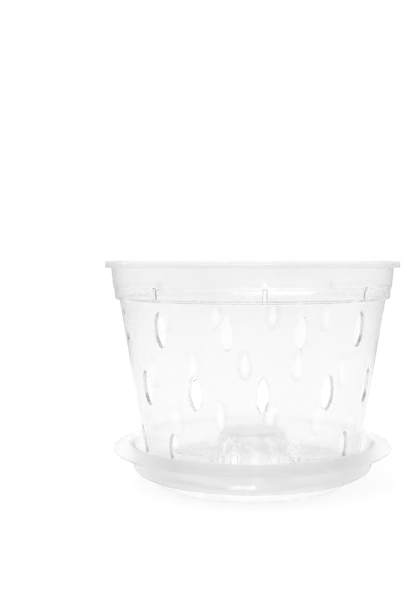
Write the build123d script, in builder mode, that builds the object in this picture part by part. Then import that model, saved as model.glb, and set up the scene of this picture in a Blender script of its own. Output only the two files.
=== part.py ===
from build123d import *
import os
from math import acos, atan, atan2, cos, degrees, hypot, radians, sin, tan

# Orchid pot with slots, standing in its saucer.
# Millimetres, +Z up, origin in the middle of the saucer's underside.
# Both pieces are turned shapes about Z. The slot that faces -Y is the middle one of its row.

# Pot, overall
pot_height = 97.8
rim_radius = 70.0
pot_wall = 1.1
wall_draft = 9.5

# Pot, rim: a flat plate with a skirt turned down at its edge
rim_plate = 1.2
rim_skirt_height = 2.95
rim_skirt_wall = 1.1
rim_overhang = 2.7
rim_round = 0.3

# Pot, collar between the rim and the shoulder, with a small step inwards round it
collar_drop = 17.5
collar_draft = 5.8
shoulder_step = 2.0
shoulder_fall = 0.3
shoulder_round = 0.6
step_drop = 11.9
step_fall = 0.6
step_depth = 0.4

# Pot, stacking lugs on the ledge inside the shoulder
lug_count = 8
lug_width = 1.6
lug_depth = 1.0
lug_drop = 10.9
lug_taper = 1.6

# Pot, floor and hub
floor_thickness = 1.1
foot_recess = 0.6
foot_ring_width = 5.4
pot_corner_round = 1.5
hub_base_radius = 20.0
hub_top_radius = 15.4
hub_height = 17.0
hub_round = 1.2

# Pot, slots in the wall
slot_rows = 3
slots_per_row = 12
slot_width = 6.8
slot_height = 16.5
slot_belly_share = 0.42
slot_bottom_share = 0.295
slot_side_radius = 20.0
slot_tip_radius = 6.5
slot_bevel = 40.0
slot_top_margin = 3.4
slot_bottom_margin = 4.9

# Pot, slots in the hub and in the floor
hub_slot_width = 4.6
hub_slot_top_margin = 2.6
hub_slot_bottom_margin = 1.8
drain_count = 12
drain_width = 2.6
drain_inside_margin = 5.0
drain_outside_margin = 6.1

# Saucer
saucer_wall = 1.1
well_depth = 5.65
well_draft = 6.0
seat_overlap = 4.2
seat_round = 1.0
bowl_clearance = 5.6
bowl_draft = 6.6
bowl_corner = 4.0
lip_edge_height = 17.2
lip_width = 9.4
lip_slope = 22.8
lip_bend = 2.45
lip_edge_round = 0.3
foot_round = 2.5

# Angle of the side that faces -Y, and of the seam of the turned faces, which no slot crosses
front = -90
seam = front + 90 / slots_per_row

# Length by which a cut runs past what it cuts
overrun = 0.5


def run_out(height, draft):
    """How far a wall leans out over a height, at a draft in degrees."""
    return height * tan(radians(draft))


def turned(corners):
    """Closed outline to turn about Z, from corners of radius, height and rounding."""
    FilletPolyline(*[(r, h) for r, h, _ in corners], radius=[rounding for _, _, rounding in corners], close=True)


def radial_plane(angle):
    """Plane through Z at an angle in degrees: x outwards, y up."""
    turn = radians(angle)
    return Plane(origin=(0, 0, 0), x_dir=(cos(turn), sin(turn), 0), z_dir=(sin(turn), -cos(turn), 0))


def round_z(count, start):
    """Angles in degrees of a count of places evenly spaced round Z."""
    return [start + step * 360 / count for step in range(count)]


def wall_plane(radius, height, lean, angle):
    """Plane square to a wall that leans out by lean degrees: x along the wall, y up it, z out of it."""
    turn = radians(angle)
    return Plane(
        origin=(radius * cos(turn), radius * sin(turn), height),
        x_dir=(-sin(turn), cos(turn), 0),
        z_dir=(cos(turn) * cos(radians(lean)), sin(turn) * cos(radians(lean)), -sin(radians(lean))),
    )


# Pot heights and radii, from its own underside up
collar_top = pot_height - rim_plate
collar_bottom = pot_height - collar_drop
body_top = collar_bottom - shoulder_fall
step_top = pot_height - step_drop
step_bottom = step_top - step_fall
collar_top_radius = rim_radius - rim_overhang
collar_bottom_radius = collar_top_radius - run_out(collar_top - collar_bottom, collar_draft) - step_depth
body_top_radius = collar_bottom_radius - shoulder_step
pot_base_radius = body_top_radius - run_out(body_top, wall_draft)
wall_across = pot_wall / cos(radians(wall_draft))
floor_top = foot_recess + floor_thickness
step_lift = pot_wall * tan(atan(step_depth / step_fall) / 2)
ledge_top = collar_bottom + pot_wall
ledge_bottom = ledge_top - shoulder_fall


def collar_outside(height):
    """Radius of the outside of the collar above its step."""
    return collar_top_radius - run_out(collar_top - height, collar_draft)


def collar_inside(height):
    """Radius inside the collar above its step."""
    return collar_outside(height) - pot_wall


def body_outside(height):
    """Radius of the outside of the tapered body."""
    return pot_base_radius + run_out(height, wall_draft)


# Saucer radii and heights: the pot's foot stands on the ledge round the water well
foot_radius = pot_base_radius - seat_overlap
well_radius = foot_radius - saucer_wall
seat_height = well_depth + saucer_wall
bowl_base_radius = pot_base_radius + bowl_clearance
lip_under_edge = lip_edge_height - saucer_wall / cos(radians(lip_slope))
bowl_top_radius = bowl_base_radius + run_out(lip_edge_height - seat_height, bowl_draft)
lip_radius = bowl_top_radius + lip_width
lip_corner = lip_edge_height + run_out(lip_width, lip_slope)
lip_under_corner = lip_under_edge + run_out(lip_width - saucer_wall, lip_slope)

with BuildPart() as saucer:
    with BuildSketch(radial_plane(seam)):
        with BuildLine():
            turned(
                [
                    (0, 0, 0),
                    (foot_radius, 0, foot_round),
                    (foot_radius + run_out(well_depth, well_draft), well_depth, seat_round),
                    (bowl_base_radius + saucer_wall, well_depth, bowl_corner),
                    (bowl_top_radius + saucer_wall, lip_under_corner, lip_bend - saucer_wall),
                    (lip_radius, lip_under_edge, lip_edge_round),
                    (lip_radius, lip_edge_height, lip_edge_round),
                    (bowl_top_radius, lip_corner, lip_bend),
                    (bowl_base_radius, seat_height, bowl_corner - saucer_wall),
                    (well_radius + run_out(well_depth, well_draft), seat_height, seat_round),
                    (well_radius, saucer_wall, foot_round - saucer_wall),
                    (0, saucer_wall, 0),
                ]
            )
        make_face()
    revolve(axis=Axis.Z)

with BuildPart() as pot:
    with BuildSketch(radial_plane(seam)):
        with BuildLine():
            turned(
                [
                    (r, seat_height + h, rounding)
                    for r, h, rounding in [
                        (0, hub_height - floor_thickness, 0),
                        (hub_top_radius - pot_wall, hub_height - floor_thickness, hub_round / 2),
                        (hub_base_radius - pot_wall, foot_recess, hub_round),
                        (pot_base_radius - foot_ring_width - foot_recess, foot_recess, foot_recess / 2),
                        (pot_base_radius - foot_ring_width, 0, foot_recess / 2),
                        (pot_base_radius, 0, pot_corner_round),
                        (body_top_radius, body_top, shoulder_round),
                        (collar_bottom_radius, collar_bottom, shoulder_round),
                        (collar_outside(step_bottom) - step_depth, step_bottom, 0),
                        (collar_outside(step_top), step_top, 0),
                        (collar_top_radius, collar_top, rim_round / 2),
                        (rim_radius - rim_skirt_wall, collar_top, rim_round / 2),
                        (rim_radius - rim_skirt_wall, pot_height - rim_skirt_height, rim_round / 2),
                        (rim_radius, pot_height - rim_skirt_height, rim_round / 2),
                        (rim_radius, pot_height, rim_round),
                        (collar_inside(pot_height), pot_height, rim_round),
                        (collar_inside(step_top), step_top + step_lift, 0),
                        (collar_inside(step_bottom) - step_depth, step_bottom + step_lift, 0),
                        (collar_inside(ledge_top) - step_depth, ledge_top, shoulder_round / 2),
                        (body_outside(ledge_bottom) - wall_across, ledge_bottom, shoulder_round / 2),
                        (body_outside(floor_top) - wall_across, floor_top, pot_corner_round),
                        (hub_base_radius, floor_top, hub_round),
                        (hub_top_radius, hub_height, hub_round),
                        (0, hub_height, 0),
                    ]
                ]
            )
        make_face()
    revolve(axis=Axis.Z)

    # Stacking lugs stand on the ledge, against the inside of the collar, and taper at the top
    lug_top = pot_height - lug_drop
    lug_inside = collar_inside(ledge_top) - step_depth - lug_depth
    with BuildSketch(*[radial_plane(angle) for angle in round_z(lug_count, front)]):
        with BuildLine():
            Polyline(
                (lug_inside, seat_height + ledge_bottom - pot_wall / 4),
                (collar_inside(ledge_top), seat_height + ledge_bottom - pot_wall / 4),
                (collar_inside(lug_top) + pot_wall / 4, seat_height + lug_top),
                (collar_inside(lug_top), seat_height + lug_top),
                (lug_inside, seat_height + lug_top - lug_taper),
                close=True,
            )
        make_face()
    extrude(amount=lug_width / 2, both=True)

    # Rows of bevelled drop-shaped slots, each row turned by half a step
    slot_up = slot_height * (1 - slot_belly_share)
    slot_down = slot_height * slot_belly_share
    slot_bottom_radius = slot_width * slot_bottom_share
    half = slot_width / 2
    lower_radius = (half**2 + (slot_down - slot_bottom_radius) ** 2 - slot_bottom_radius**2) / (
        2 * (half - slot_bottom_radius)
    )
    first_row = body_top - slot_top_margin - slot_height / 2
    last_row = floor_top + slot_bottom_margin + slot_height / 2
    belly = slot_height * (slot_belly_share - 1 / 2)
    tip = (0, slot_height / 2)
    side = (half, belly)
    side_centre = half - slot_side_radius
    to_tip = hypot(side_centre, slot_up)
    apart = slot_side_radius - slot_tip_radius
    swing = acos((to_tip**2 + apart**2 - slot_tip_radius**2) / (2 * apart * to_tip))
    turn = atan2(slot_up, -side_centre) - swing
    shoulder = (side_centre + slot_side_radius * cos(turn), belly + slot_side_radius * sin(turn))
    bottom_centre = (0, slot_bottom_radius - slot_height / 2)
    reach = hypot(lower_radius - half, bottom_centre[1] - belly)
    join = (
        slot_bottom_radius * (lower_radius - half) / reach,
        bottom_centre[1] + slot_bottom_radius * (bottom_centre[1] - belly) / reach,
    )
    rows = []
    for row in range(slot_rows):
        height = first_row + (last_row - first_row) * row / (slot_rows - 1)
        start = front + (row + 1) % 2 * 180 / slots_per_row
        rows += [
            wall_plane(body_outside(height), seat_height + height, wall_draft, angle)
            for angle in round_z(slots_per_row, start)
        ]
    with BuildSketch(*rows):
        with BuildLine():
            RadiusArc(tip, shoulder, slot_tip_radius)
            RadiusArc(shoulder, side, slot_side_radius)
            RadiusArc(side, join, lower_radius)
            RadiusArc(join, (0, -slot_height / 2), slot_bottom_radius)
            mirror(about=Plane.YZ)
        make_face()
    extrude(amount=-(pot_wall + overrun), taper=slot_bevel, mode=Mode.SUBTRACT)

    # Upright slots round the hub's side, in line with the middle row
    hub_lean = degrees(atan((hub_base_radius - hub_top_radius) / (hub_height - floor_top)))
    hub_slot_low = floor_top + hub_slot_bottom_margin
    hub_slot_high = hub_height - hub_slot_top_margin
    hub_slot_middle = (hub_slot_low + hub_slot_high) / 2
    hub_slot_radius = hub_base_radius - (hub_slot_middle - floor_top) * tan(radians(hub_lean))
    hub_planes = [
        wall_plane(hub_slot_radius, seat_height + hub_slot_middle, -hub_lean, angle)
        for angle in round_z(slots_per_row, front)
    ]
    with BuildSketch(*hub_planes):
        RectangleRounded(hub_slot_width, hub_slot_high - hub_slot_low, hub_round)
    extrude(amount=pot_wall + overrun, both=True, mode=Mode.SUBTRACT)

    # Drain slots run outwards across the floor, between the hub and the wall
    drain_inside = hub_base_radius + drain_inside_margin
    drain_outside = body_outside(floor_top) - wall_across - drain_outside_margin
    with BuildSketch(Plane.XY.offset(seat_height - overrun)):
        with PolarLocations((drain_inside + drain_outside) / 2, drain_count, start_angle=front):
            SlotOverall(drain_outside - drain_inside, drain_width)
    extrude(amount=floor_top + 2 * overrun, mode=Mode.SUBTRACT)

saucer.part.label = "saucer"
pot.part.label = "pot"

os.makedirs("parts", exist_ok=True)
export_step(saucer.part, "parts/saucer.step")
export_step(pot.part, "parts/pot.step")
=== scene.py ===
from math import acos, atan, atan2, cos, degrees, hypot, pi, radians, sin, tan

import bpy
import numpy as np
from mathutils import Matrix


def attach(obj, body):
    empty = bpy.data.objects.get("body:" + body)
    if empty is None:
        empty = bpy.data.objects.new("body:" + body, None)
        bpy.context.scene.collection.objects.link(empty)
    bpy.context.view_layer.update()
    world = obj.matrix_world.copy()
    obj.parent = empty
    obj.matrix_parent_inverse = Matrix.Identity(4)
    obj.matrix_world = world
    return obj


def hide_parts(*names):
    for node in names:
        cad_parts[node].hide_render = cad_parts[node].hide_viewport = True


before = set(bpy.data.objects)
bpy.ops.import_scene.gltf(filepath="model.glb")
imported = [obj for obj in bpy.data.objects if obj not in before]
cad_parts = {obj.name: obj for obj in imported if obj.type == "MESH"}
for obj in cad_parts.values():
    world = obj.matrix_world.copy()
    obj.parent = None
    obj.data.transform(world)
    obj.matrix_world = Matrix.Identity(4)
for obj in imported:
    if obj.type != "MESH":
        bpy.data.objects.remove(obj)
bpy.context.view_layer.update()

# Orchid pot with slots, standing in its saucer. Lengths are in millimetres until a mesh is
# made, +Z is up, and heights of the pot's own outline start at its underside. The studio and
# the camera are in metres.

MM = 0.001

# Pot, overall
pot_height = 97.8
rim_radius = 70.0
pot_wall = 1.1
wall_draft = 9.5
seat_height = 6.75

# Pot, rim and collar
rim_plate = 1.2
rim_skirt_height = 2.95
rim_skirt_wall = 1.1
rim_overhang = 2.7
rim_round = 0.3
collar_drop = 17.5
collar_draft = 5.8
shoulder_step = 2.0
shoulder_fall = 0.3
shoulder_round = 0.6
step_drop = 11.9
step_fall = 0.6
step_depth = 0.4
step_round = 0.1

# Pot, stacking lugs
lug_count = 8
lug_width = 1.6
lug_depth = 1.0
lug_drop = 10.9
lug_taper = 1.6

# Pot, floor and hub
foot_recess = 0.6
foot_ring_width = 5.4
pot_corner_round = 1.5
hub_base_radius = 20.0
hub_top_radius = 15.4
hub_height = 17.0
hub_round = 1.2

# Pot, slots in the wall
slots_per_row = 12
slot_width = 6.8
slot_height = 16.5
slot_belly_share = 0.42
slot_bottom_share = 0.295
slot_side_radius = 20.0
slot_tip_radius = 6.5
slot_bevel = 40.0
slot_top_margin = 3.4
slot_bottom_margin = 4.9

# Pot, slots in the hub and the floor
hub_slot_width = 4.6
hub_slot_top_margin = 2.6
hub_slot_bottom_margin = 1.8
drain_width = 2.6
drain_inside_margin = 5.0
drain_outside_margin = 6.1

# Saucer
saucer_wall = 1.1
well_depth = 5.65
well_draft = 6.0
seat_overlap = 4.2
seat_round = 1.0
bowl_clearance = 5.6
bowl_draft = 6.6
bowl_corner = 4.0
lip_edge_height = 17.2
lip_width = 9.4
lip_slope = 22.8
lip_bend = 2.45
lip_edge_round = 0.3
foot_round = 2.5

# The saucer's seat is drawn this much under the pot's foot, so that their faces don't share
# a plane
seat_gap = 0.03

# Gate nibs, the small stubs in the middle of each moulding
nib_top_radius = 1.1
nib_base_radius = 1.3
nib_height = 0.35
nib_top_round = 0.15
nib_base_round = 0.1

# Drop-shaped slots through the wall: the flat strip of skin round the slot outside and
# inside, and the roundings of the edges. The strip inside ends that far within the outline.
slot_strip = 0.28
slot_strip_inside = 0.5
slot_outer_round = 0.16
slot_inner_round = 0.1

# Slots cut square through the hub and the floor: the same
cut_strip = 0.3
cut_round = 0.15
drain_end_flat = 0.1

# Margins that keep the bands of slots clear of the roundings beside them
wall_band_bottom = 3.4
wall_band_top_margin = 1.02
hub_band_bottom = 1.25
hub_band_top_margin = 1.45
drain_band_outside = 0.7
drain_band_inside = 2.2

# Steps of the grids. A slot's outline has as many points as its cell's, so the steps of one
# side of a drop add up to columns_per_slot + wall_steps.
columns_per_slot = 16
wall_steps = 16
hub_steps = 12
floor_steps = 16
drop_steps = (6, 10, 6, 10)
bar_end_steps = 2
bar_corner_steps = 5

# Places of the rings of skin between a cell's edge (0) and its slot (1)
wall_rings = [0, 0.2, 0.4, 0.6, 0.8]
hub_rings = [0, 0.35, 0.7]
drain_rings = [0, 0.3, 0.6]

# Degrees of turn per step of an arc
usual_turn_step = 14
rim_turn_step = 19
saucer_turn_step = 8
cut_turn_step = 30

# A lug's side: shares of its half width, and how much of its depth it has there
lug_side_shares = np.array([0.75, 0.93, 1.06])
lug_side_depths = [1, 0.88, 0]

# A smaller turn than this, in radians, is straight, and points merge on a grid of this many
# lines to the millimetre, which is shifted so that no named size lies between two of them
straight = 1e-6
merge_lines = 1e4
merge_shift = 0.137

# The side that faces -Y
front = radians(-90)


def run_out(height, draft):
    """How far a wall leans out over a height."""
    return height * tan(radians(draft))


# Pot radii and heights
collar_top = pot_height - rim_plate
collar_bottom = pot_height - collar_drop
body_top = collar_bottom - shoulder_fall
step_top = pot_height - step_drop
step_bottom = step_top - step_fall
collar_top_radius = rim_radius - rim_overhang
collar_bottom_radius = (
    collar_top_radius - run_out(collar_top - collar_bottom, collar_draft) - step_depth
)
body_top_radius = collar_bottom_radius - shoulder_step
pot_base_radius = body_top_radius - run_out(body_top, wall_draft)
wall_across = pot_wall / cos(radians(wall_draft))
floor_top = foot_recess + pot_wall
step_lift = pot_wall * tan(atan(step_depth / step_fall) / 2)
ledge_top = collar_bottom + pot_wall
ledge_bottom = ledge_top - shoulder_fall
ledge_inside = pot_base_radius + run_out(ledge_bottom, wall_draft) - wall_across
floor_inside = pot_base_radius + run_out(floor_top, wall_draft) - wall_across
drain_inside = hub_base_radius + drain_inside_margin
drain_outside = floor_inside - drain_outside_margin


def collar_outside(height):
    """Radius of the outside of the collar above its step."""
    return collar_top_radius - run_out(collar_top - height, collar_draft)


def collar_inside(height):
    """Radius inside the collar above its step."""
    return collar_outside(height) - pot_wall


class Run:
    """A straight run of the outline that slots go through.

    It has a start, a direction, a length and a thickness, and its outside lies to the right
    of the direction.
    """

    def __init__(self, start, end, thickness):
        length = hypot(end[0] - start[0], end[1] - start[1])
        self.start = start
        self.along = ((end[0] - start[0]) / length, (end[1] - start[1]) / length)
        self.out = (self.along[1], -self.along[0])
        self.length = length
        self.thickness = thickness

    def at(self, y, depth):
        """Radius and height: start + y * along - depth * out."""
        return (
            self.start[0] + y * self.along[0] - depth * self.out[0],
            self.start[1] + y * self.along[1] - depth * self.out[1],
        )


hub_thickness = pot_wall * (hub_height - floor_top + hub_base_radius - hub_top_radius) / hypot(
    hub_height - floor_top, hub_base_radius - hub_top_radius
)
body_run = Run((pot_base_radius, 0), (body_top_radius, body_top), pot_wall)
hub_run = Run((hub_base_radius, floor_top), (hub_top_radius, hub_height), hub_thickness)
floor_run = Run((drain_outside, floor_top), (drain_inside, floor_top), pot_wall)


# Outlines
def fillet_line(corners, turn_step=usual_turn_step):
    """Straight runs joined by tangent arcs, as an array of points.

    Each corner is x, y and rounding r. Its arc has radius r, starts r * tan(turn / 2) before
    the corner and is divided into steps of about turn_step degrees.
    """
    p = np.array([corner[:2] for corner in corners], float)
    line = [p[:1]]
    for before, here, after, corner in zip(p[:-2], p[1:-1], p[2:], corners[1:-1]):
        u = (here - before) / np.linalg.norm(here - before)
        v = (after - here) / np.linalg.norm(after - here)
        turn = np.arctan2(u[0] * v[1] - u[1] * v[0], u @ v)
        rounding = corner[2] if len(corner) > 2 else 0
        if rounding == 0 or abs(turn) < straight:
            line.append(here[None])
            continue
        normal = np.sign(turn) * np.array([-u[1], u[0]])
        first = here - rounding * tan(abs(turn) / 2) * u
        steps = max(2, int(np.ceil(abs(degrees(turn)) / turn_step)))
        a = np.linspace(0, turn, steps + 1)[:, None]
        arm = -rounding * normal
        x = arm[0] * np.cos(a) - arm[1] * np.sin(a)
        y = arm[0] * np.sin(a) + arm[1] * np.cos(a)
        line.append(first - arm + np.hstack([x, y]))
    line.append(p[-1:])
    return np.concatenate(line)


def mirrored(x, y):
    """A whole outline from the arcs and lines of its right side, bottom to top."""
    side = np.stack([np.concatenate(x, 1), np.concatenate(y, 1)], -1)
    side[:, [0, -1], 0] = 0
    return np.concatenate([side, side[:, -2::-1] * [-1, 1]], 1)


def drop_edge(offset):
    """Outline of a drop-shaped slot, grown by offset, anticlockwise from its lowest point.

    Four arcs make each side: the bottom about (0, b - height / 2), the lower and the upper
    side about (half - radius, belly), and the tip's, which leaves the upper arc at the angle
    lean with no bend. Growing adds offset to each radius, and the tip lies where its arcs meet.
    """
    half = slot_width / 2
    up = slot_height * (1 - slot_belly_share)
    down = slot_height * slot_belly_share
    bottom = slot_width * slot_bottom_share
    upper = slot_side_radius
    apart = upper - slot_tip_radius
    to_tip = hypot(upper - half, up)
    swing_up = acos((to_tip**2 + apart**2 - slot_tip_radius**2) / (2 * apart * to_tip))
    lean = atan2(up, upper - half) - swing_up
    tip_x = half - upper + apart * cos(lean)
    lower = (half**2 + (down - bottom) ** 2 - bottom**2) / (2 * (half - bottom))
    belly = slot_height * (slot_belly_share - 0.5)
    low_centre = bottom - slot_height / 2
    swing = atan2(belly - low_centre, lower - half)
    g = np.asarray(offset, float)[:, None]
    a = np.linspace(-np.pi / 2, -swing, drop_steps[0] + 1)[:-1]
    b = np.linspace(-swing, 0, drop_steps[1] + 1)[:-1]
    c = np.linspace(0, lean, drop_steps[2] + 1)[:-1]
    to_top = np.arccos(-tip_x / (slot_tip_radius + g)) - lean
    d = lean + to_top * np.linspace(0, 1, drop_steps[3] + 1)
    x = [
        (bottom + g) * np.cos(a),
        half - lower + (lower + g) * np.cos(b),
        half - upper + (upper + g) * np.cos(c),
        tip_x + (slot_tip_radius + g) * np.cos(d),
    ]
    y = [
        low_centre + (bottom + g) * np.sin(a),
        belly + (lower + g) * np.sin(b),
        belly + (upper + g) * np.sin(c),
        belly + apart * sin(lean) + (slot_tip_radius + g) * np.sin(d),
    ]
    return mirrored(x, y)


def bar_edge(width, height, rounding, rows):
    """Outline of a slot with rounded corners, anticlockwise from its lowest point.

    Straight edges of the given width and height, grown by offset, with corners of the
    rounding grown as much. It has as many points as a cell with that many rows.
    """
    n, k = bar_end_steps, bar_corner_steps
    m = columns_per_slot + rows - 2 * (n + k)

    def edge(offset):
        g = np.asarray(offset, float)[:, None]
        w = width / 2 - rounding
        h = height / 2 - rounding
        low = np.linspace(-np.pi / 2, 0, k + 1)[:-1]
        high = np.linspace(0, np.pi / 2, k + 1)[:-1]
        x = [
            np.linspace(0, w, n + 1)[:-1] + 0 * g,
            w + (rounding + g) * np.cos(low),
            w + rounding + g + np.zeros(m),
            w + (rounding + g) * np.cos(high),
            np.linspace(w, 0, n + 1) + 0 * g,
        ]
        y = [
            -h - rounding - g + np.zeros(n),
            -h + (rounding + g) * np.sin(low),
            np.linspace(-h, h, m + 1)[:-1] + 0 * g,
            h + (rounding + g) * np.sin(high),
            h + rounding + g + np.zeros(n + 1),
        ]
        return mirrored(x, y)

    return edge


def square_cut(thickness):
    """A cut square through a wall, as offset and depth, with both edges rounded."""
    return fillet_line(
        [(cut_strip, 0), (0, 0, cut_round), (0, thickness, cut_round), (cut_strip, thickness)],
        cut_turn_step,
    )


# Surfaces, as grids of points whose outside is along (second parameter) x (first parameter)
def turned(line, angles, snapped=None, lugs=None):
    """A profile carried round Z: x = r cos a, y = r sin a, z = h.

    Where snapped is given, the first and last rows use those angles instead. Where lugs is
    given, the radius r is held at the lug's face wherever the lug's mask is one:
    r - mask(a) * max(0, r - face(h)) below the lug's top and above its foot, where face(h)
    runs straight between the given heights and radii. Lugs are on the second half of the
    profile, which is the inside.
    """
    r = np.repeat(line[:, :1], len(angles), 1)
    h = np.repeat(line[:, 1:], len(angles), 1)
    a = np.repeat(angles[None], len(line), 0)
    if snapped is not None:
        a[[0, -1]] = snapped
    if lugs is not None:
        mask, foot, heights, radii = lugs
        is_inside = np.arange(len(line))[:, None] > len(line) // 2
        in_reach = (h > foot) & (h < heights[-1]) & is_inside
        r = r - mask * np.maximum(0, r - np.interp(h, heights, radii)) * in_reach
    return np.stack([r * np.cos(a), r * np.sin(a), h], -1)


def pierced(run, edge, cut, middle, low, high, start, rows, rings):
    """A ring of wall cells, each with one slot through it, from the outer to the inner skin.

    Round a cell runs the slot's outline, and across it the rings: from the cell's
    rectangle in to the slot, through the wall along cut (offset, depth), and back out on the
    inner skin. A ring between is the weighted mean of the two. A point x, y, depth lies at
    the run's radius and height for y and depth, turned by arcsin(x / r).
    """
    slot = edge(cut[:, 0])
    depth = np.repeat(cut[:, 1:], slot.shape[1], 1)
    y = slot[..., 1] + middle
    r, h = run.at(y, depth)
    turn = np.arcsin(slot[..., 0] / r)
    half = np.pi / slots_per_row
    n = columns_per_slot // 2
    across = np.linspace(0, half, n + 1)
    up = np.linspace(low, high, rows + 1)
    frame_turn = np.concatenate([across[:-1], np.full(rows, half), across[::-1]])
    frame_y = np.concatenate([np.full(n, low), up[:-1], np.full(n + 1, high)])
    frame_turn = np.concatenate([frame_turn, -frame_turn[-2::-1]])
    frame_y = np.concatenate([frame_y, frame_y[-2::-1]])
    share = np.array(rings)[:, None]

    def between(edges, outline):
        """The rings outside, those through the wall, and those inside."""
        outer = edges + (outline[0] - edges) * share
        inner = edges + (outline[-1] - edges) * share
        return np.concatenate([outer, outline, inner[::-1]])

    flat = np.zeros((len(rings), slot.shape[1]))
    depth = np.concatenate([flat, depth, flat + run.thickness])
    r, h = run.at(between(frame_y, y), depth)
    cells = start + np.arange(slots_per_row) * 2 * half
    a = between(frame_turn, turn) + cells[:, None, None]
    return np.stack([r * np.cos(a), r * np.sin(a), h + 0 * a], -1)


def faces_and_points(grids):
    """Four-sided faces of all grids, and their points, with those that coincide merged."""
    grids = [g.reshape((-1,) + g.shape[-3:]) for g in grids]
    points = np.concatenate([g.reshape(-1, 3) for g in grids])
    faces = []
    first = 0
    for g in grids:
        number = np.arange(first, first + g[..., 0].size).reshape(g.shape[:3])
        a, b = number[:, :-1, :-1], number[:, :-1, 1:]
        c, d = number[:, 1:, 1:], number[:, 1:, :-1]
        faces.append(np.stack([a, b, c, d], -1).reshape(-1, 4))
        first += number.size
    keys = np.round(points * merge_lines + merge_shift).astype(np.int64)
    _, kept, place = np.unique(keys, axis=0, return_index=True, return_inverse=True)
    return place.reshape(-1)[np.concatenate(faces)], points[kept]


def point_normals(points, quads, tris):
    """Each point's normal: the sum of its faces' area vectors, at length 1.

    The area vector is the cross product of a face's diagonals, and for a triangle, whose last
    corner is its third, that of two of its sides.
    """
    normals = np.zeros_like(points)
    for faces in (quads, tris):
        p = points[faces]
        area = np.cross(p[:, 2] - p[:, 0], p[:, -1] - p[:, 1])
        for corner in faces.T:
            np.add.at(normals, corner, area)
    return normals / np.linalg.norm(normals, axis=1, keepdims=True)


def solid_mesh(name, grids, lift):
    """One closed mesh from grids of points in millimetres, raised by lift.

    Four-sided faces that lose a side in merging become triangles, and those that lose more
    are left out.
    """
    faces, points = faces_and_points(grids)
    points = (points + [0, 0, lift]) * MM
    same = faces == np.roll(faces, -1, 1)
    quads = faces[same.sum(1) == 0]
    tris = faces[same.sum(1) == 1][~same[same.sum(1) == 1]].reshape(-1, 3)
    corners = np.concatenate([quads.ravel(), tris.ravel()])
    sizes = np.concatenate([np.full(len(quads), 4), np.full(len(tris), 3)])
    mesh = bpy.data.meshes.new(name)
    mesh.vertices.add(len(points))
    mesh.vertices.foreach_set("co", points.ravel())
    mesh.loops.add(len(corners))
    mesh.loops.foreach_set("vertex_index", corners)
    mesh.polygons.add(len(sizes))
    mesh.polygons.foreach_set("loop_start", np.concatenate([[0], np.cumsum(sizes)[:-1]]))
    mesh.update(calc_edges=True)
    mesh.validate()
    mesh.shade_smooth()
    mesh.normals_split_custom_set_from_vertices(point_normals(points, quads, tris))
    return placed(name, mesh)


def placed(name, data):
    """A new object with this mesh, lamp or camera, in the scene."""
    thing = bpy.data.objects.new(name, data)
    bpy.context.scene.collection.objects.link(thing)
    return thing


# Columns round the axis: those of the slots, and six more at each stacking lug
column_count = slots_per_row * columns_per_slot
base_columns = front + np.arange(column_count + 1) * 2 * np.pi / column_count
lug_face = collar_inside(ledge_top) - step_depth - lug_depth
lug_top = pot_height - lug_drop
lug_bend = lug_top - lug_taper
lug_half = degrees(lug_width / 2 / lug_face)
lug_places = front + np.arange(lug_count) * 2 * np.pi / lug_count
lug_sides = np.radians(np.concatenate([-lug_side_shares[::-1], lug_side_shares]) * lug_half)
spare = (lug_places[:, None] + lug_sides).ravel()
spare = np.where(spare < front, spare + 2 * np.pi, spare)
lug_columns = np.sort(np.concatenate([base_columns, spare]))
snapped_columns = base_columns[np.searchsorted(base_columns, lug_columns, side="right") - 1]
half_way = np.pi / lug_count
from_lug = np.abs((lug_columns - front + half_way) % (2 * half_way) - half_way)
lug_mask = np.interp(np.degrees(from_lug) / lug_half, lug_side_shares, lug_side_depths)
lugs = (lug_mask, ledge_bottom, (lug_bend, lug_top), (lug_face, collar_inside(lug_top)))

# Pot, bands of slots
first_row = (body_top - slot_top_margin - slot_height / 2) / cos(radians(wall_draft))
last_row = (floor_top + slot_bottom_margin + slot_height / 2) / cos(radians(wall_draft))
middle_row = (first_row + last_row) / 2
band_top = body_run.length - wall_band_top_margin
band_high = (first_row + middle_row) / 2
band_low = (middle_row + last_row) / 2
half_slot = np.pi / slots_per_row
through_wall = fillet_line(
    [
        (slot_strip, 0),
        (0, 0, slot_outer_round),
        (-run_out(pot_wall, slot_bevel), pot_wall, slot_inner_round),
        (-slot_strip_inside, pot_wall),
    ],
    cut_turn_step,
)
pot_grids = [
    pierced(body_run, drop_edge, through_wall, middle, low, high, start, wall_steps, wall_rings)
    for middle, low, high, start in (
        (first_row, band_high, band_top, front + half_slot),
        (middle_row, band_low, band_high, front),
        (last_row, wall_band_bottom, band_low, front + half_slot),
    )
]

hub_high = hub_run.length - hub_band_top_margin
hub_slot_bottom = floor_top + hub_slot_bottom_margin
hub_slot_height = hub_height - hub_slot_top_margin - hub_slot_bottom
pot_grids.append(
    pierced(
        hub_run,
        bar_edge(hub_slot_width, hub_slot_height, hub_round, hub_steps),
        square_cut(hub_thickness),
        (hub_slot_bottom + hub_slot_height / 2 - floor_top) / hub_run.along[1],
        hub_band_bottom,
        hub_high,
        front,
        hub_steps,
        hub_rings,
    )
)

drain_low = -drain_band_outside
drain_high = floor_run.length + drain_band_inside
pot_grids.append(
    pierced(
        floor_run,
        bar_edge(drain_width, floor_run.length, drain_width / 2 - drain_end_flat, floor_steps),
        square_cut(pot_wall),
        floor_run.length / 2,
        drain_low,
        drain_high,
        front,
        floor_steps,
        drain_rings,
    )
)

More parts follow.
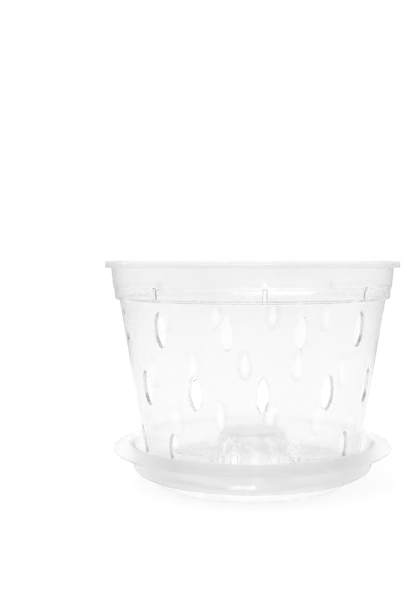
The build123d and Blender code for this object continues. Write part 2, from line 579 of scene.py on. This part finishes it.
# Pot, outlines between the bands
upper_line = fillet_line(
    [
        body_run.at(band_top, 0),
        (body_top_radius, body_top, shoulder_round),
        (collar_bottom_radius, collar_bottom, shoulder_round),
        (collar_outside(step_bottom) - step_depth, step_bottom, step_round),
        (collar_outside(step_top), step_top, step_round),
        (collar_top_radius, collar_top, rim_round / 2),
        (rim_radius - rim_skirt_wall, collar_top, rim_round / 2),
        (rim_radius - rim_skirt_wall, pot_height - rim_skirt_height, rim_round / 2),
        (rim_radius, pot_height - rim_skirt_height, rim_round / 2),
        (rim_radius, pot_height, rim_round),
        (collar_inside(pot_height), pot_height, rim_round),
        (collar_inside(lug_top), lug_top),
        (collar_inside(step_top), step_top + step_lift, step_round),
        (collar_inside(step_bottom) - step_depth, step_bottom + step_lift, step_round),
        (collar_inside(lug_bend) - step_depth, lug_bend),
        (collar_inside(ledge_top) - step_depth, ledge_top, shoulder_round / 2),
        (lug_face, (ledge_top + ledge_bottom) / 2),
        (ledge_inside, ledge_bottom, shoulder_round / 2),
        body_run.at(band_top, pot_wall),
    ],
    rim_turn_step,
)
hub_ceiling = hub_height - pot_wall
hub_underside = fillet_line(
    [
        (0, hub_ceiling - nib_height),
        (nib_top_radius, hub_ceiling - nib_height, nib_top_round),
        (nib_base_radius, hub_ceiling, nib_base_round),
        (hub_top_radius - pot_wall, hub_ceiling, hub_round / 2),
        hub_run.at(hub_high, hub_thickness),
    ]
)
recess = fillet_line(
    [
        hub_run.at(hub_band_bottom, hub_thickness),
        (hub_base_radius - pot_wall, foot_recess, hub_round),
        floor_run.at(drain_high, pot_wall),
    ]
)
foot_ring = fillet_line(
    [
        floor_run.at(drain_low, pot_wall),
        (pot_base_radius - foot_ring_width - foot_recess, foot_recess, foot_recess / 2),
        (pot_base_radius - foot_ring_width, 0, foot_recess / 2),
        (pot_base_radius, 0, pot_corner_round),
        body_run.at(wall_band_bottom, 0),
    ]
)
inside_corner = fillet_line(
    [
        body_run.at(wall_band_bottom, pot_wall),
        (floor_inside, floor_top, pot_corner_round),
        floor_run.at(drain_low, 0),
    ]
)
hub_foot = fillet_line(
    [
        floor_run.at(drain_high, 0),
        (hub_base_radius, floor_top, hub_round),
        hub_run.at(hub_band_bottom, 0),
    ]
)
hub_crown = fillet_line(
    [hub_run.at(hub_high, 0), (hub_top_radius, hub_height, hub_round), (0, hub_height)]
)
pot_grids.append(turned(upper_line, lug_columns, snapped_columns, lugs))
pot_grids += [
    turned(line, base_columns)
    for line in (hub_underside, recess, foot_ring, inside_corner, hub_foot, hub_crown)
]
pot = solid_mesh("pot_shell", pot_grids, seat_height)

# Saucer
foot_radius = pot_base_radius - seat_overlap
well_radius = foot_radius - saucer_wall
seat_top = seat_height - seat_gap
bowl_base_radius = pot_base_radius + bowl_clearance
bowl_top_radius = bowl_base_radius + run_out(lip_edge_height - seat_height, bowl_draft)
lip_radius = bowl_top_radius + lip_width
lip_under_edge = lip_edge_height - saucer_wall / cos(radians(lip_slope))
lip_under_top = lip_under_edge + run_out(lip_width - saucer_wall, lip_slope)
saucer_line = fillet_line(
    [
        (0, 0),
        (foot_radius, 0, foot_round),
        (foot_radius + run_out(well_depth, well_draft), well_depth, seat_round),
        (bowl_base_radius + saucer_wall, well_depth, bowl_corner),
        (bowl_top_radius + saucer_wall, lip_under_top, lip_bend - saucer_wall),
        (lip_radius, lip_under_edge, lip_edge_round),
        (lip_radius, lip_edge_height, lip_edge_round),
        (bowl_top_radius, lip_edge_height + run_out(lip_width, lip_slope), lip_bend),
        (bowl_base_radius, seat_top, bowl_corner - saucer_wall),
        (well_radius + run_out(well_depth, well_draft), seat_top, seat_round),
        (well_radius, saucer_wall, foot_round - saucer_wall),
        (nib_base_radius, saucer_wall, nib_base_round),
        (nib_top_radius, saucer_wall + nib_height, nib_top_round),
        (0, saucer_wall + nib_height),
    ],
    saucer_turn_step,
)
saucer = solid_mesh("saucer_shell", [turned(saucer_line, base_columns)], 0)


# Materials
def add(tree, kind, **settings):
    """A node of one kind, with its plain settings."""
    node = tree.nodes.new(kind)
    for key, value in settings.items():
        setattr(node, key, value)
    return node


def feed(tree, value, socket):
    """Sets a socket to a number, or links another socket to it."""
    if isinstance(value, (int, float)):
        socket.default_value = value
    else:
        tree.links.new(value, socket)


def noise(tree, vector, scale, detail=2.0, roughness=0.5):
    """Output of a noise texture on a vector."""
    node = add(tree, "ShaderNodeTexNoise")
    node.inputs["Scale"].default_value = scale
    node.inputs["Detail"].default_value = detail
    node.inputs["Roughness"].default_value = roughness
    feed(tree, vector, node.inputs["Vector"])
    return node.outputs["Fac"]


def maths(tree, operation, *values):
    """Output of one arithmetic node on sockets or numbers."""
    node = add(tree, "ShaderNodeMath", operation=operation)
    for socket, value in zip(node.inputs, values):
        feed(tree, value, socket)
    return node.outputs[0]


def stretched(tree, vector, rise):
    """Output of a vector whose Z is scaled by rise: under 1 draws a pattern out upwards."""
    node = add(tree, "ShaderNodeMapping")
    node.inputs["Scale"].default_value = (1, 1, rise)
    feed(tree, vector, node.inputs["Vector"])
    return node.outputs["Vector"]


def ramp(tree, value, low, high, out_low=0.0, out_high=1.0):
    """Output that goes smoothly from out_low, where value is low, to out_high."""
    node = add(tree, "ShaderNodeMapRange", interpolation_type="SMOOTHSTEP")
    limits = {"From Min": low, "From Max": high, "To Min": out_low, "To Max": out_high}
    for name, number in limits.items():
        node.inputs[name].default_value = number
    feed(tree, value, node.inputs["Value"])
    return node.outputs["Result"]


def mixed(tree, factor, a, b):
    """Output of a mix of two values or sockets: a where factor is 0, b where it is 1."""
    node = add(tree, "ShaderNodeMix", data_type="FLOAT")
    for place, value in zip((0, 2, 3), (factor, a, b)):
        feed(tree, value, node.inputs[place])
    return node.outputs[0]


# The moulded skin's patterns: scales in steps to the metre, and shares of the whole
swell_scale = 70
flow_scale = 330
flow_share = 0.12
grain_scale = 4200
cloud_scale = 45
cloud_share = 0.6
scuff_scale = 900
scuff_share = 0.4


def moulded_skin():
    """Group: the skin that a mould leaves. Height in metres and haze from 0 to 1.

    The swell and the flow lines are drawn out upwards, as the plastic ran. Clouds and short
    level scuffs make the haze.
    """
    tree = bpy.data.node_groups.new("moulded_skin", "ShaderNodeTree")
    tree.interface.new_socket("Position", in_out="INPUT", socket_type="NodeSocketVector")
    for name in ("Waves", "Grain"):
        tree.interface.new_socket(name, in_out="INPUT", socket_type="NodeSocketFloat")
    for name in ("Height", "Haze"):
        tree.interface.new_socket(name, in_out="OUTPUT", socket_type="NodeSocketFloat")
    into = add(tree, "NodeGroupInput")
    out = add(tree, "NodeGroupOutput")
    position = into.outputs["Position"]
    swell = noise(tree, stretched(tree, position, rise=0.35), swell_scale, detail=1)
    flow = noise(tree, stretched(tree, position, rise=0.08), flow_scale)
    fine = noise(tree, position, grain_scale)
    scratches = stretched(tree, position, rise=2.5)
    scuffs = ramp(tree, noise(tree, scratches, scuff_scale, detail=4, roughness=0.7), 0.58, 0.72)
    clouds = noise(tree, position, cloud_scale, detail=3)
    waves = maths(tree, "ADD", swell, maths(tree, "MULTIPLY", flow, flow_share))
    height = maths(tree, "MULTIPLY", waves, into.outputs["Waves"])
    grain = maths(tree, "MULTIPLY", fine, into.outputs["Grain"])
    feed(tree, maths(tree, "ADD", height, grain), out.inputs["Height"])
    hazy = maths(tree, "MULTIPLY", clouds, cloud_share)
    hazy = maths(tree, "ADD", hazy, maths(tree, "MULTIPLY", scuffs, scuff_share))
    feed(tree, hazy, out.inputs["Haze"])
    return tree


skin_group = moulded_skin()


def plastic(name, colour, index, waves, grain, low_roughness, high_roughness):
    """Moulded see-through plastic: haze turns roughness, and the skin's height bumps it.

    waves and grain are the heights in metres of the skin's swell and of its finest texture.
    """
    material = bpy.data.materials.new(name)
    material.use_nodes = True
    tree = material.node_tree
    shader = tree.nodes["Principled BSDF"]
    shader.inputs["Base Color"].default_value = (*colour, 1)
    shader.inputs["IOR"].default_value = index
    shader.inputs["Transmission Weight"].default_value = 1.0
    position = add(tree, "ShaderNodeTexCoord").outputs["Object"]
    skin = add(tree, "ShaderNodeGroup", node_tree=skin_group)
    feed(tree, position, skin.inputs["Position"])
    skin.inputs["Waves"].default_value = waves
    skin.inputs["Grain"].default_value = grain
    roughness = ramp(tree, skin.outputs["Haze"], 0.2, 0.8, low_roughness, high_roughness)
    feed(tree, roughness, shader.inputs["Roughness"])
    relief = add(tree, "ShaderNodeBump")
    relief.inputs["Strength"].default_value = 1.0
    relief.inputs["Distance"].default_value = 1.0
    feed(tree, skin.outputs["Height"], relief.inputs["Height"])
    feed(tree, relief.outputs["Normal"], shader.inputs["Normal"])
    return material


clear_plastic = plastic(
    "clear_plastic",
    colour=(0.957, 0.958, 0.958),
    index=1.49,
    waves=0.0001,
    grain=0.0,
    low_roughness=0.11,
    high_roughness=0.16,
)

# The low index stands for a milky plastic: rough walls of the true index would render grey
frosted_plastic = plastic(
    "frosted_plastic",
    colour=(0.998, 0.998, 0.998),
    index=1.14,
    waves=0.0001,
    grain=0.000001,
    low_roughness=0.45,
    high_roughness=0.55,
)

for piece, body, node, slot, material in (
    (pot, "pot", "pot", "clear_plastic", clear_plastic),
    (saucer, "saucer", "saucer", "frosted_plastic", frosted_plastic),
):
    piece.data.materials.append(material)
    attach(piece, body)
    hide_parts(node)

# Studio: a pale floor, an even tent with two darker gaps, and a soft lamp. Ramps are given
# as where the change begins, where it ends, the level before and the level after.
floor_reach = 12.0
floor_pale = 0.3
floor_white = 1.01
floor_gloss_by_distance = (0.2, 0.5, 1.0, 0.35)
tent_level = 0.85
tent_gloss_by_y = (-0.4, 0.3, 0.35, 1.0)
tent_through_by_y = (-0.7, 0.1, 0.8, 1.0)
lamp_level = 0.3
lamp_size = 0.7
lamp_place = (-0.2, -0.1, 1.0)

# The gaps in the tent: azimuth of the middle and half width, in degrees, and where in the
# half width their soft edge begins and ends
tent_gaps = ((-127.8, 8.5), (-49.8, 10.0))
gap_edge = (0.6, 1.4)


def by_ray(tree, diffuse, glossy, through):
    """A level for each kind of ray: 1 for the camera's, and the given values for the others."""
    path = add(tree, "ShaderNodeLightPath")
    level = mixed(tree, path.outputs["Is Glossy Ray"], diffuse, glossy)
    level = mixed(tree, path.outputs["Is Transmission Ray"], level, through)
    return mixed(tree, path.outputs["Is Camera Ray"], level, 1.0)


def floor_paint():
    """Matt pale paint that glows up to white for the camera and keeps the shadow."""
    material = bpy.data.materials.new("floor_paint")
    material.use_nodes = True
    tree = material.node_tree
    shader = tree.nodes["Principled BSDF"]
    shader.inputs["Base Color"].default_value = (floor_pale, floor_pale, floor_pale, 1)
    shader.inputs["Roughness"].default_value = 0.9
    shader.inputs["Specular IOR Level"].default_value = 0.0
    shader.inputs["Emission Color"].default_value = (1, 1, 1, 1)
    away = add(tree, "ShaderNodeVectorMath", operation="LENGTH")
    feed(tree, add(tree, "ShaderNodeTexCoord").outputs["Object"], away.inputs[0])
    near = ramp(tree, away.outputs["Value"], *floor_gloss_by_distance)
    glow = floor_white - floor_pale * tent_level
    strength = maths(tree, "MULTIPLY", by_ray(tree, 0.0, near, 1.0), glow)
    feed(tree, strength, shader.inputs["Emission Strength"])
    return material


def gap(tree, azimuth, middle, half_width):
    """1 inside a band of azimuths, in degrees, with soft edges."""
    away = maths(tree, "ABSOLUTE", maths(tree, "SUBTRACT", azimuth, radians(middle)))
    begin, end = (radians(half_width * share) for share in gap_edge)
    return ramp(tree, away, begin, end, 1.0, 0.0)


def tent():
    """World whose level follows the direction, and is dark in the gaps for gloss only."""
    world = bpy.data.worlds.new("tent")
    world.use_nodes = True
    tree = world.node_tree
    background = tree.nodes["Background"]
    background.inputs["Color"].default_value = (1, 1, 1, 1)
    split = add(tree, "ShaderNodeSeparateXYZ")
    feed(tree, add(tree, "ShaderNodeTexCoord").outputs["Generated"], split.inputs[0])
    azimuth = maths(tree, "ARCTAN2", split.outputs["Y"], split.outputs["X"])
    gaps = maths(tree, "MAXIMUM", *[gap(tree, azimuth, *place) for place in tent_gaps])
    glossy = mixed(tree, gaps, ramp(tree, split.outputs["Y"], *tent_gloss_by_y), 0.0)
    through = ramp(tree, split.outputs["Y"], *tent_through_by_y)
    feed(tree, by_ray(tree, tent_level, glossy, through), background.inputs["Strength"])
    return world


floor_corners = [
    (x * floor_reach, y * floor_reach, 0) for x, y in ((-1, -1), (1, -1), (1, 1), (-1, 1))
]
floor_mesh = bpy.data.meshes.new("floor")
floor_mesh.from_pydata(floor_corners, [], [(0, 1, 2, 3)])
floor_mesh.materials.append(floor_paint())
placed("floor", floor_mesh)

scene = bpy.context.scene
scene.world = tent()

# The lamp's energy gives white paint right under its disk the level lamp_level
lamp_data = bpy.data.lights.new("overhead", "AREA")
lamp_data.shape = "DISK"
lamp_data.size = lamp_size
lamp_data.energy = lamp_level * pi * (lamp_place[2] ** 2 + (lamp_data.size / 2) ** 2) * pi
placed("overhead", lamp_data).location = lamp_place

# Camera, fitted to the picture: its focal length and the middle of its view are in pixels
photo_width = 401
photo_height = 601
focal_pixels = 921.7
view_middle_x = 252.6
view_middle_y = 256.2
sensor_width = 36.0
camera_distance = 0.443
camera_height = 0.10685
camera_azimuth = radians(-94.5)

camera_data = bpy.data.cameras.new("camera")
camera_data.sensor_width = sensor_width
camera_data.lens = focal_pixels / photo_height * sensor_width
camera_data.shift_x = -(view_middle_x - photo_width / 2) / photo_height
camera_data.shift_y = -(photo_height / 2 - view_middle_y) / photo_height
camera_data.dof.use_dof = False
camera = placed("camera", camera_data)
camera.location = (
    camera_distance * cos(camera_azimuth),
    camera_distance * sin(camera_azimuth),
    camera_height,
)
camera.rotation_euler = (radians(90), 0, camera_azimuth + radians(90))
scene.camera = camera

# Light passes through many walls of clear plastic
bounces = 160
scene.view_settings.view_transform = "Standard"
scene.cycles.max_bounces = bounces
scene.cycles.transmission_bounces = bounces
scene.cycles.glossy_bounces = bounces
